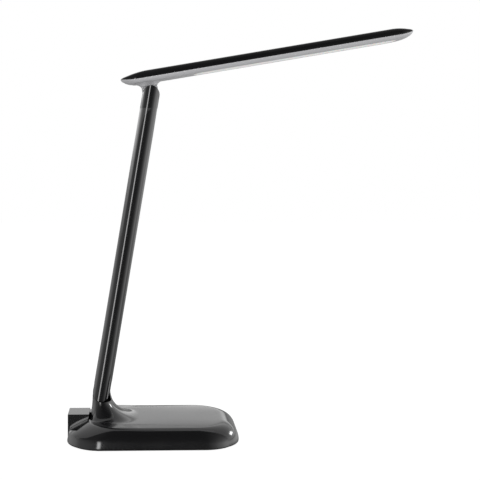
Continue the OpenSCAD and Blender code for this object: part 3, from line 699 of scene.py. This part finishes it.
round_side = np.linspace(0, math.pi / 2, 13)
outer = [belly_ring(a, 0.0) for a in round_side]
outer += [trumpet_ring(b, 0.0) for b in np.linspace(0, trumpet_angle(shoulder_n, 0.0), 17)]
inner_end = trumpet_angle(shoulder_n + head_wall, head_wall)
inner = [belly_ring(a, head_wall) for a in round_side]
inner += [trumpet_ring(b, head_wall) for b in np.linspace(0, inner_end, 17)]
tray = cup("head_tray", inner, outer, paint)
tongue = np.concatenate([arc_points(top_tongue, 180, 360, 65),
                         [(top_tongue, shoulder_n + root_n), (-top_tongue, shoulder_n + root_n)]])
flat = in_head(np.insert(tongue, 1, 0.0, axis=1))[:, [0, 2]]
carve(tray, slab("tongue", flat, -half_tongue, half_tongue, paint), "UNION")
window_x0, window_x1, half_window, window_r = 50.0, 276.0, 13.5, 13.0


def window_ring(grown):
    """The window's outline, flat at height 0, grown outwards by grown."""
    return ring(window_x0 - grown, window_x1 + grown, half_window + grown, window_r + grown, 0.0,
                tip_steps, run_steps)


def tablet(name, outlines, looks):
    """A solid between two or more outlines of the same number of points, one above the other."""
    count, last = len(outlines[0]), (len(outlines) - 1) * len(outlines[0])
    faces = [tuple(face) for face in loft(outlines)]
    faces += [tuple(range(last, last + count)), tuple(range(count - 1, -1, -1))]
    return piece(name, in_head(np.concatenate(outlines)), faces, looks)


def raised(outline, n):
    """The outline lifted to height n above the pivot, in the head's frame."""
    return outline + np.array([0.0, 0.0, n])


window = window_ring(0.0)
carve(tray, tablet("window_cut", [raised(window, floor_n - 1), raised(window, floor_n + 3)], paint))
soften(tray, 0.25, 40.0, 2)
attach(tray, "head")
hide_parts("head_bottom_shell")


# Diffuser
# A long plate of milky acrylic, frosted so that the light strip can't be made out behind it. Its lip
# rests on the inside of the window.
milky, nodes, shader = material("milky_acrylic", Base_Color=to_linear("#e9e9e7"), IOR=1.49, Roughness=0.5,
                                Subsurface_Weight=0.15, Subsurface_Scale=0.002)
bump(nodes, shader, pattern(nodes, 0.6), 0.01)
gap, sunk, ease, lip, lip_t = 0.15, 0.2, 0.2, 0.4, 0.8
face, eased, flange = window_ring(-gap), window_ring(-gap - ease), window_ring(lip)
inner_n = floor_n + head_wall
diffuser = tablet("diffuser_plate", [raised(eased, floor_n + sunk), raised(face, floor_n + sunk + ease),
                  raised(face, inner_n), raised(flange, inner_n), raised(flange, inner_n + lip_t)], milky)
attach(diffuser, "head")
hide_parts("diffuser")


# Light strip
# Chips of phosphor-filled resin on a narrow green board shine into the edge of a clear acrylic guide,
# with a white film behind it. The guide's polish and the board's mask vary over a few millimetres.
clear, nodes, shader = material("clear_acrylic", Base_Color=to_linear("#f2f7f8"), IOR=1.49, Roughness=0.04,
                                Transmission_Weight=1.0)
nodes.links.new(spread(nodes, pattern(nodes, 3.0), 0.03, 0.08), shader.inputs["Roughness"])
film, nodes, shader = material("white_film", Base_Color=to_linear("#f0f0ee"), IOR=1.45, Roughness=0.6)
bump(nodes, shader, pattern(nodes, 2.0), 0.01)
mask, nodes, shader = material("green_solder_mask", Base_Color=to_linear("#1c5a36"), IOR=1.55,
                               Roughness=0.35)
nodes.links.new(spread(nodes, pattern(nodes, 1.5), 0.28, 0.45), shader.inputs["Roughness"])
bump(nodes, shader, pattern(nodes, 1.0), 0.02)
resin, nodes, shader = material("phosphor_resin", Base_Color=to_linear("#e6c24a"), IOR=1.5, Roughness=0.3)
bump(nodes, shader, pattern(nodes, 0.4), 0.01)
dress("light_guide", clear)
dress("reflector_sheet", film)
dress("led_board", mask)
dress("control_board", mask)
dress("led_chips", resin)


# Hinge metal and weights
# Brackets, shafts, screws, the arm's bar and the ballast are zinc-plated steel, drawn along their
# length. The friction washers are acetal.
steel, nodes, shader = material("zinc_plated_steel", Base_Color=to_linear("#b9babb"), Metallic=1.0,
                                Roughness=0.32)
nodes.links.new(spread(nodes, pattern(nodes, 8.0, detail=5.0, stretch=(1.0, 1.0, 0.08)), 0.24, 0.42),
                shader.inputs["Roughness"])
bump(nodes, shader, pattern(nodes, 1.0, stretch=(1.0, 1.0, 0.1)), 0.008)
for node in ("ballast_plate", "lower_hinge_bracket", "lower_pivot_shaft", "base_screws", "bracket_screws",
             "arm_stiffener", "arm_screws", "head_hinge_bracket", "upper_pivot_shaft", "head_screws"):
    dress(node, steel)
acetal, nodes, shader = material("natural_acetal", Base_Color=to_linear("#d8d3c3"), IOR=1.48, Roughness=0.42,
                                 Subsurface_Weight=0.1, Subsurface_Scale=0.001)
bump(nodes, shader, pattern(nodes, 0.7), 0.01)
dress("lower_friction_washers", acetal)
dress("upper_friction_washers", acetal)


# Wires and touch pad
# Wires in black sleeves run from the inlet up the arm to the light strip. A disc of copper foil under
# the bare cover senses a finger.
sleeve, nodes, shader = material("black_wire_sleeve", Base_Color=to_linear("#1b1b1c"), IOR=1.5,
                                 Roughness=0.6)
bump(nodes, shader, pattern(nodes, 0.8, stretch=(1.0, 1.0, 0.2)), 0.02)
copper, nodes, shader = material("copper_foil", Base_Color=to_linear("#c8895c"), Metallic=1.0,
                                 Roughness=0.35)
bump(nodes, shader, pattern(nodes, 4.0), 0.02)
for node in ("base_cable", "arm_cable", "head_cable"):
    dress(node, sleeve)
dress("touch_sensor", copper)
